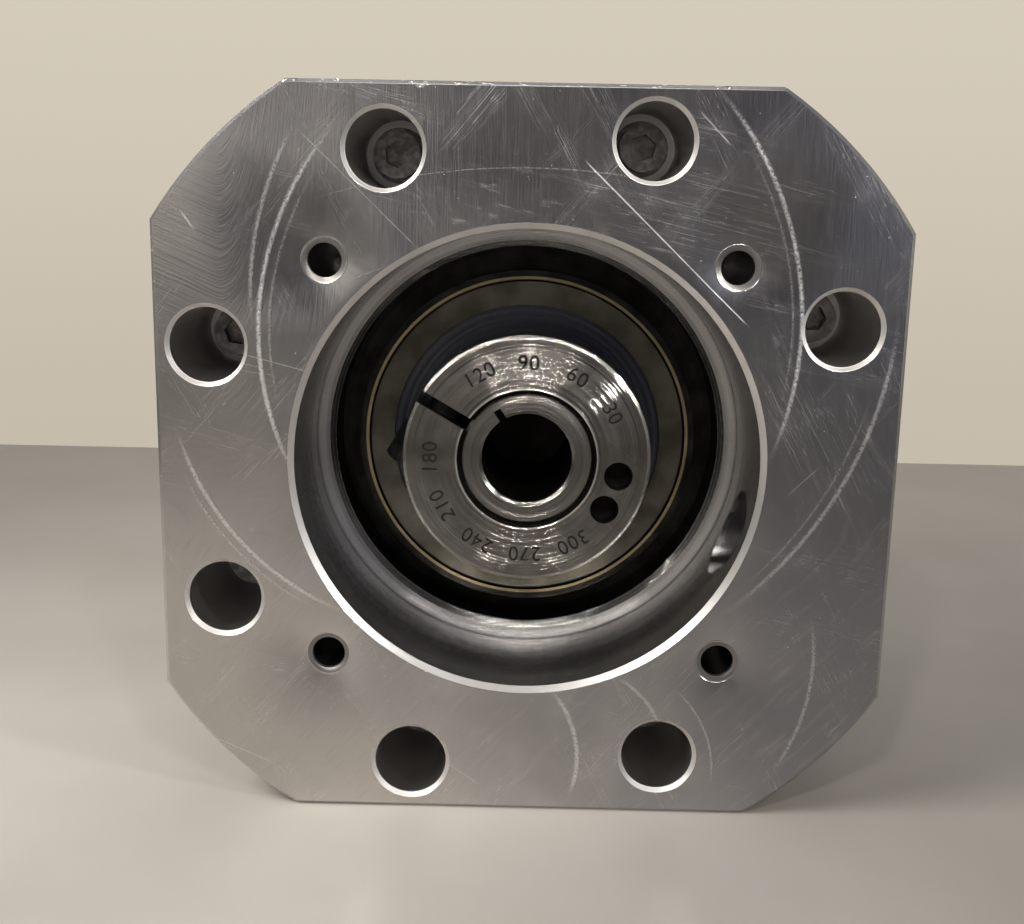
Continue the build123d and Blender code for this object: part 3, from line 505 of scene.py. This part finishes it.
def hub_metal():
    """The clamp hub's turned and ground steel, painted dark as a reflection of the dark space in
    front, with bevels painted bright as highlights, fine scratches, and recesses painted black as
    shade.
    """
    finish = Finish("hub_metal")
    radius, depth = polar(finish.place)
    rings = grooves(radius, depth, 0.04)
    coarse = grooves(radius, depth, 0.5, 1.0)
    fine = scratches(finish.place, 0.3, 0.9, 0.01)
    face = depth.rise(HUB_FRONT + 0.12, HUB_FRONT + 0.04)
    outer = radius.rise(HUB_RADIUS - HUB_BEVEL - 0.15, HUB_RADIUS - HUB_BEVEL + 0.1)
    bevel = outer * depth.rise(HUB_FRONT + HUB_BEVEL + 0.15, HUB_FRONT + HUB_BEVEL)
    inner = radius.rise(HUB_BORE_RADIUS + 0.2, HUB_BORE_RADIUS - 0.25)
    inner = inner * depth.rise(HUB_FRONT + 0.5, HUB_FRONT + 0.3)
    cloud = noise(finish.place, 5.0, 3.0)
    # Painted shade: the steel is painted dark, standing in for the dark reflection in front of the
    # hub
    base = mixed((0.155, 0.148, 0.139), (0.215, 0.205, 0.191), cloud.rise(0.3, 0.7))
    # Painted highlight: the outer bevel and the bore's edge are painted bright, with fine bright
    # scratches on the face
    base = mixed(base, (0.85, 0.82, 0.77), strongest([bevel, fine * 0.35 * face, inner * 0.7]))
    # Painted shade: the recesses behind the face are painted nearly black
    sunk = depth.rise(HUB_FRONT + 0.2, HUB_FRONT + 0.8) * (1.0 - outer)
    base = mixed(base, (0.012, 0.011, 0.010), sunk)
    finish.set(base_color=base, roughness=0.13 + cloud * 0.03 + sunk * 0.30)
    return finish.relief((rings + coarse * 0.8) * (1.0 - sunk), 1.0, 0.00004).material


def dark_neck():
    """The input bearing housing: painted near black as shade where the bearing sits, with a worn
    golden lip.
    """
    finish = Finish("dark_neck")
    radius, depth = polar(finish.place)
    rings = grooves(radius, depth, 0.05)
    cloud = noise(finish.place, 5.0, 3.0)
    outside = radius.rise(NECK_OUTER_RADIUS - 0.5, NECK_OUTER_RADIUS + 1.0)
    lip = radius.rise(NECK_LIP_RADIUS + 0.1, NECK_LIP_RADIUS - 0.1)
    lip = lip * depth.rise(NECK_FRONT + 0.3, NECK_FRONT + 0.2)
    # Painted shade: the face round the bearing is near black
    base = mixed((0.018, 0.017, 0.015), (0.045, 0.042, 0.037), cloud.rise(0.3, 0.7))
    base = mixed(base, (0.50, 0.42, 0.25), lip * (0.5 + cloud * 0.5))
    base = mixed(base, (0.50, 0.50, 0.51), outside)
    finish.set(base_color=base, roughness=0.20 + cloud * 0.08 + outside * 0.08)
    return finish.relief(rings, 1.0, 0.00002).material


def sleeve_metal(name, light, dark, bore_radius):
    """Turned steel round the motor shaft's bore, stained at the right and darker inside its bore as
    painted shade.
    """
    finish = Finish(name)
    front = SLEEVE_FRONT
    radius, depth = polar(finish.place)
    rings = grooves(radius, depth, 0.04)
    bands = grooves(radius, depth, 0.7, 1.0)
    cloud = noise(finish.place, 3.0, 3.0)
    stain = shaft_angle(finish.place).near(-0.1, 0.75) * cloud.rise(0.3, 0.5)
    stain = stain * radius.rise(SLEEVE_RADIUS - 1.1, SLEEVE_RADIUS - 0.5)
    base = mixed(dark, light, bands.rise(0.3, 0.7) * 0.7 + cloud * 0.3)
    base = mixed(base, (0.62, 0.50, 0.27), stain * depth.rise(front + 1.2, front))
    # Painted shade: the inside of the bore is painted nearly black
    inside = depth.rise(front + 0.9, front + 2.5)
    inside = inside * radius.rise(bore_radius + 0.3, bore_radius + 0.1)
    base = mixed(base, (0.022, 0.020, 0.018), inside)
    finish.set(base_color=base, roughness=0.19 + cloud * 0.04 + inside * 0.12)
    return finish.relief(rings + bands, 1.0, 0.000032).material


def plain_metal(name, colour, dark, roughness, size=3.0, relief=0.15):
    """Smooth metal with faint clouds and handling marks."""
    finish = Finish(name)
    cloud = noise(finish.place, size, 4.0)
    speck = noise(finish.place, 0.5, 2.0)
    base = mixed(dark, colour, cloud.rise(0.3, 0.65))
    finish.set(base_color=base, roughness=roughness + cloud * 0.12 + speck * 0.05)
    return finish.relief(speck, relief, 0.00004).material


def bearing_face():
    """The dull olive grey ground face of the bearing's outer ring, with faint rings."""
    finish = Finish("bearing_face")
    radius, depth = polar(finish.place)
    rings = grooves(radius, depth, 0.05)
    cloud = noise(finish.place, 7.0, 3.0)
    base = mixed((0.085, 0.079, 0.062), (0.15, 0.14, 0.112), cloud.rise(0.3, 0.7))
    finish.set(base_color=base, roughness=0.26 + cloud * 0.12)
    return finish.relief(rings, 1.0, 0.00004).material


def bearing_shield():
    """The dark polished sheet that closes the bearing, with turning marks."""
    finish = Finish("bearing_shield")
    radius, depth = polar(finish.place)
    rings = grooves(radius, depth, 0.04)
    bands = grooves(radius, depth, 0.8, 1.0)
    base = mixed((0.045, 0.05, 0.062), (0.10, 0.105, 0.122), bands.rise(0.3, 0.7))
    finish.set(base_color=base, roughness=0.18 + bands * 0.04)
    return finish.relief(rings, 1.0, 0.00003).material


def black_oxide(name, dark, light):
    """Blackened screw steel, rubbed a little brighter where tools touch it."""
    finish = Finish(name)
    cloud = noise(finish.place, 1.6, 4.0)
    speck = noise(finish.place, 0.25, 2.0)
    base = mixed(dark, light, cloud.rise(0.38, 0.70))
    finish.set(base_color=base, roughness=0.36 + speck * 0.2)
    return finish.relief(speck, 0.3, 0.00005).material


def dull_plastic(name, colour, light):
    """Moulded plastic or rubber with a fine grain."""
    finish = Finish(name, metallic=0.0)
    grain = noise(finish.place, 0.35, 3.0)
    cloud = noise(finish.place, 4.0, 2.0)
    base = mixed(colour, light, cloud.rise(0.35, 0.7))
    finish.set(base_color=base, roughness=0.55 + grain * 0.15)
    return finish.relief(grain, 0.25, 0.00005).material


def engraved_ink():
    """The dark fill of the numbers on the hub."""
    finish = Finish("engraved_ink", metallic=0.0)
    grain = noise(finish.place, 0.3, 2.0)
    base = mixed((0.002, 0.002, 0.002), (0.006, 0.006, 0.005), grain)
    finish.set(base_color=base, roughness=0.6 + grain * 0.2, specular=0.08)
    return finish.relief(grain, 0.2, 0.00003).material


# Finishes of the CAD nodes


def dress_nodes():
    """Gives every sub-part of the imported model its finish."""
    plate = milled_plate()
    ground = turned_metal("ground_steel", (0.64, 0.63, 0.62), (0.52, 0.51, 0.50), 0.20)
    gear = plain_metal("gear_steel", (0.46, 0.45, 0.43), (0.36, 0.35, 0.34), 0.30)
    light, shade = (0.70, 0.70, 0.71), (0.60, 0.60, 0.62)
    polished = plain_metal("polished_steel", light, shade, 0.12, size=5.0, relief=0.05)
    pressed = plain_metal("pressed_steel", (0.45, 0.43, 0.40), (0.36, 0.34, 0.32), 0.34)
    dark = plain_metal("spring_steel", (0.16, 0.16, 0.17), (0.10, 0.10, 0.11), 0.36)
    housing = turned_metal("turned_housing", (0.56, 0.57, 0.59), (0.46, 0.47, 0.49), 0.32, 0.5)
    steel_ring = turned_metal("nitrided_steel", (0.30, 0.30, 0.32), (0.23, 0.23, 0.25), 0.36, 0.5)
    light, shade = (0.24, 0.23, 0.215), (0.13, 0.125, 0.118)
    bushing = sleeve_metal("bushing_steel", light, shade, MOTOR_SHAFT_RADIUS)
    light, shade = (0.22, 0.21, 0.195), (0.12, 0.115, 0.108)
    shaft = sleeve_metal("shaft_steel", light, shade, BUSHING_RADIUS)
    bronze = plain_metal("bronze", (0.55, 0.42, 0.22), (0.42, 0.31, 0.16), 0.30)
    rubber = dull_plastic("seal_rubber", (0.020, 0.018, 0.017), (0.035, 0.032, 0.030))
    plastic = dull_plastic("plug_plastic", (0.018, 0.018, 0.020), (0.032, 0.032, 0.035))
    oxide = black_oxide("black_oxide", (0.15, 0.145, 0.14), (0.30, 0.29, 0.275))
    near_black = black_oxide("oiled_oxide", (0.010, 0.010, 0.010), (0.025, 0.024, 0.023))
    finishes = {
        "motor_adapter_plate": plate,
        "adapter_screws": oxide,
        "adapter_washers": oxide,
        "housing_screws": oxide,
        "clamp_screw": near_black,
        "access_plug": plastic,
        "clamp_hub": hub_metal(),
        "reducing_bushing": bushing,
        "sun_gear_shaft": shaft,
        "output_carrier_shaft": ground,
        "planet_pins": ground,
        "input_bearing_outer_ring": bearing_face(),
        "input_bearing_shields": bearing_shield(),
        "input_bearing_housing": dark_neck(),
        "input_snap_ring": dark,
        "bearing_nut": dark,
        "thrust_washers": bronze,
        "ring_gear_housing": steel_ring,
        "output_housing": housing,
        "input_shaft_seal": rubber,
        "output_shaft_seal": rubber,
    }
    for name, node in frame["nodes"].items():
        if name in finishes:
            material = finishes[name]
        elif "cage" in name:
            material = pressed
        elif name.startswith("planet_gear"):
            material = gear
        else:
            material = polished
        node.data.materials.clear()
        node.data.materials.append(material)
        shade_smooth(node)


def shade_smooth(node, crease=30.0):
    """Rounds the shading of a node's curved faces and keeps its edges crisp."""
    count = len(node.data.polygons)
    node.data.polygons.foreach_set("use_smooth", np.ones(count, dtype=bool))
    weld = node.modifiers.new("weld", "WELD")
    weld.merge_threshold = 0.000002
    split = node.modifiers.new("creases", "EDGE_SPLIT")
    split.split_angle = math.radians(crease)


# Degree numbers on the hub's face, like a dial's; lengths in metres

NUMBER_HEIGHT = 0.0031
NUMBER_RADIUS = 0.0188
NUMBER_ANGLES = (30, 60, 90, 120, 180, 210, 240, 270, 300)
NUMBER_LIFT = 0.00002
NUMBER_SPACING = 1.08
FIGURE_SHARE = 0.7


def number_mesh(text, angle):
    """A number as a flat mesh on the hub's face, standing on a circle about the shaft axis.

    The letter outline (u, v) is turned by the angle and set at the circle's radius:
    x = (R + v) cos a + u sin a and z = (R + v) sin a - u cos a."""
    curve = bpy.data.curves.new(f"number_{text}_{angle}", "FONT")
    curve.body = text
    curve.size = NUMBER_HEIGHT / FIGURE_SHARE
    curve.align_x = "CENTER"
    curve.align_y = "BOTTOM_BASELINE"
    curve.space_character = NUMBER_SPACING
    piece = bpy.data.objects.new(curve.name, curve)
    bpy.context.scene.collection.objects.link(piece)
    bpy.context.view_layer.update()
    mesh = bpy.data.meshes.new_from_object(piece)
    bpy.data.objects.remove(piece)
    corners = np.zeros(len(mesh.vertices) * 3, dtype=np.float32)
    mesh.vertices.foreach_get("co", corners)
    u, v = corners.reshape(-1, 3)[:, 0], corners.reshape(-1, 3)[:, 1]
    turn = math.radians(angle)
    outward = NUMBER_RADIUS + v
    placed = np.stack(
        [
            outward * math.cos(turn) + u * math.sin(turn),
            np.full_like(u, hub_low.y - NUMBER_LIFT),
            outward * math.sin(turn) - u * math.cos(turn),
        ],
        axis=1,
    )
    mesh.vertices.foreach_set("co", placed.astype(np.float32).ravel())
    return mesh


def hub_numbers():
    """Plain degree numbers round the hub, joined into one piece."""
    ink = engraved_ink()
    points, faces = [], []
    for angle in NUMBER_ANGLES:
        mesh = number_mesh(str(angle), angle)
        start = len(points)
        points += [tuple(vertex.co) for vertex in mesh.vertices]
        faces += [tuple(start + corner for corner in face.vertices) for face in mesh.polygons]
    joined = bpy.data.meshes.new("hub_numbers")
    joined.from_pydata(points, [], faces)
    joined.materials.append(ink)
    piece = bpy.data.objects.new("hub_numbers", joined)
    bpy.context.scene.collection.objects.link(piece)
    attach(piece, "input_shaft")


# Stage, lights and camera

WARM = (1.0, 0.96, 0.91)
PALE = (1.0, 0.98, 0.95)

# Small lamps in front: name, place in metres, watts of the beam and of the strip, colour
FRONT_LAMPS = (
    ("right", (0.247, -0.634, 0.554), 22.0, 0.032, WARM),
    ("left", (-0.220, -0.634, 0.554), 22.0, 0.032, WARM),
    ("side", (0.64, -0.42, 0.38), 18.0, 0.040, PALE),
)
BORE_CENTRE = (0.0, 0.03, 0.0)
STRIP_SIZE = (0.03, 0.12)
BEAM_RADIUS = 0.012
BEAM_CONE = 3.9
BEAM_BLEND = 0.35


def floor_material():
    """A plain pale floor with a soft sheen."""
    finish = Finish("pale_floor", metallic=0.0)
    cloud = noise(finish.place, 60.0, 3.0)
    colour = mixed((0.37, 0.345, 0.315), (0.41, 0.385, 0.355), cloud.rise(0.3, 0.7))
    finish.set(base_color=colour, roughness=0.34 + cloud * 0.06)
    return finish.material


def stage():
    """A pale table top under the flats, whose far edge is the line behind the gearbox."""
    low, side, edge = cad_box[0][2], TABLE_HALF, TABLE_EDGE
    corners = [(-side, -side, low), (side, -side, low), (side, edge, low), (-side, edge, low)]
    mesh = bpy.data.meshes.new("table_top")
    mesh.from_pydata(corners, [], [(0, 1, 2, 3)])
    mesh.materials.append(floor_material())
    table = bpy.data.objects.new("table_top", mesh)
    bpy.context.scene.collection.objects.link(table)


def area_light(name, place, target, width, height, power, spread, colour):
    """A soft lamp aimed at a point. Its height runs along the shaft; its spread is in degrees."""
    data = bpy.data.lights.new(name, "AREA")
    data.shape = "RECTANGLE"
    data.size = width
    data.size_y = height
    data.energy = power
    data.spread = math.radians(spread)
    data.color = colour
    lamp = bpy.data.objects.new(name, data)
    bpy.context.scene.collection.objects.link(lamp)
    back = (Vector(place) - Vector(target)).normalized()
    upward = (Vector((0.0, 1.0, 0.0)) - back * back.y).normalized()
    across = upward.cross(back)
    turn = Matrix((across, upward, back)).transposed().to_4x4()
    lamp.matrix_world = Matrix.Translation(place) @ turn
    lamp.visible_camera = False


def beam_light(name, place, power, colour):
    """A small lamp whose narrow beam reaches through the bore onto the hub's face."""
    data = bpy.data.lights.new(name, "SPOT")
    data.energy = power
    data.shadow_soft_size = BEAM_RADIUS
    data.spot_size = math.radians(BEAM_CONE)
    data.spot_blend = BEAM_BLEND
    data.color = colour
    lamp = bpy.data.objects.new(name, data)
    bpy.context.scene.collection.objects.link(lamp)
    hub_face = Vector((0.0, HUB_FRONT * MM, 0.0))
    lamp.location = place
    lamp.rotation_euler = (hub_face - Vector(place)).to_track_quat("-Z", "Y").to_euler()
    lamp.visible_camera = False


def lights():
    """Beams onto the hub and strips into the bore, and soft lamps above and at the left."""
    for name, place, power, strip_power, colour in FRONT_LAMPS:
        beam_light(f"beam_{name}", place, power, colour)
    for name, place, power, strip_power, colour in FRONT_LAMPS:
        area_light(f"strip_{name}", place, BORE_CENTRE, *STRIP_SIZE, strip_power, 14, colour)
    above, behind = (0.0, 0.40, 1.05), (0.0, 0.30, -0.075)
    area_light("soft_top", above, behind, 1.0, 0.5, 0.9, 75, PALE)
    left, beside = (-0.45, -0.20, 0.42), (-0.15, -0.09, -0.075)
    area_light("soft_left", left, beside, 0.25, 0.35, 0.8, 60, WARM)


def world():
    """A dim room, nearly dark behind the camera, that the camera itself sees as a pale wall."""
    room = bpy.data.worlds.new("room")
    bpy.context.scene.world = room
    room.use_nodes = True
    tree = room.node_tree
    x, y, z = Signal.made(tree, "ShaderNodeTexCoord", {}, "Generated").parts()
    cool_right, warm_left = (0.34, 0.35, 0.39), (0.70, 0.65, 0.59)
    side = mixed(cool_right, warm_left, x.rise(0.0, -0.22))
    front = (x * 0.07 - y * 0.99 + z * 0.12).rise(0.955, 0.995)
    dim = mixed(side, (0.062, 0.052, 0.055), front)
    dim = mixed((0.16, 0.16, 0.17), dim, y.rise(-0.35, -0.75))
    dim = mixed(dim, (0.20, 0.20, 0.21), z.rise(0.15, 0.40))
    wall = mixed((0.56, 0.50, 0.41), (0.66, 0.60, 0.49), z.rise(-0.20, 0.17))
    dim = mixed(dim, wall, y.rise(0.15, 0.45) * z.rise(0.75, 0.35))
    seen = x.node("ShaderNodeLightPath", {}, "Is Camera Ray")
    join(tree, tree.nodes["Background"].inputs["Color"], mixed(dim, wall, seen))


def camera():
    """A camera at the photograph's place and angle."""
    data = bpy.data.cameras.new("camera")
    data.lens = CAMERA_LENS
    data.sensor_width = CAMERA_SENSOR
    data.clip_start = 0.01
    eye = bpy.data.objects.new("camera", data)
    bpy.context.scene.collection.objects.link(eye)
    eye.location = CAMERA_PLACE
    eye.rotation_euler = [math.radians(turn) for turn in CAMERA_TURN]
    bpy.context.scene.camera = eye


dress_nodes()
hub_numbers()
stage()
lights()
world()
camera()
bpy.context.scene.view_settings.view_transform = "Standard"
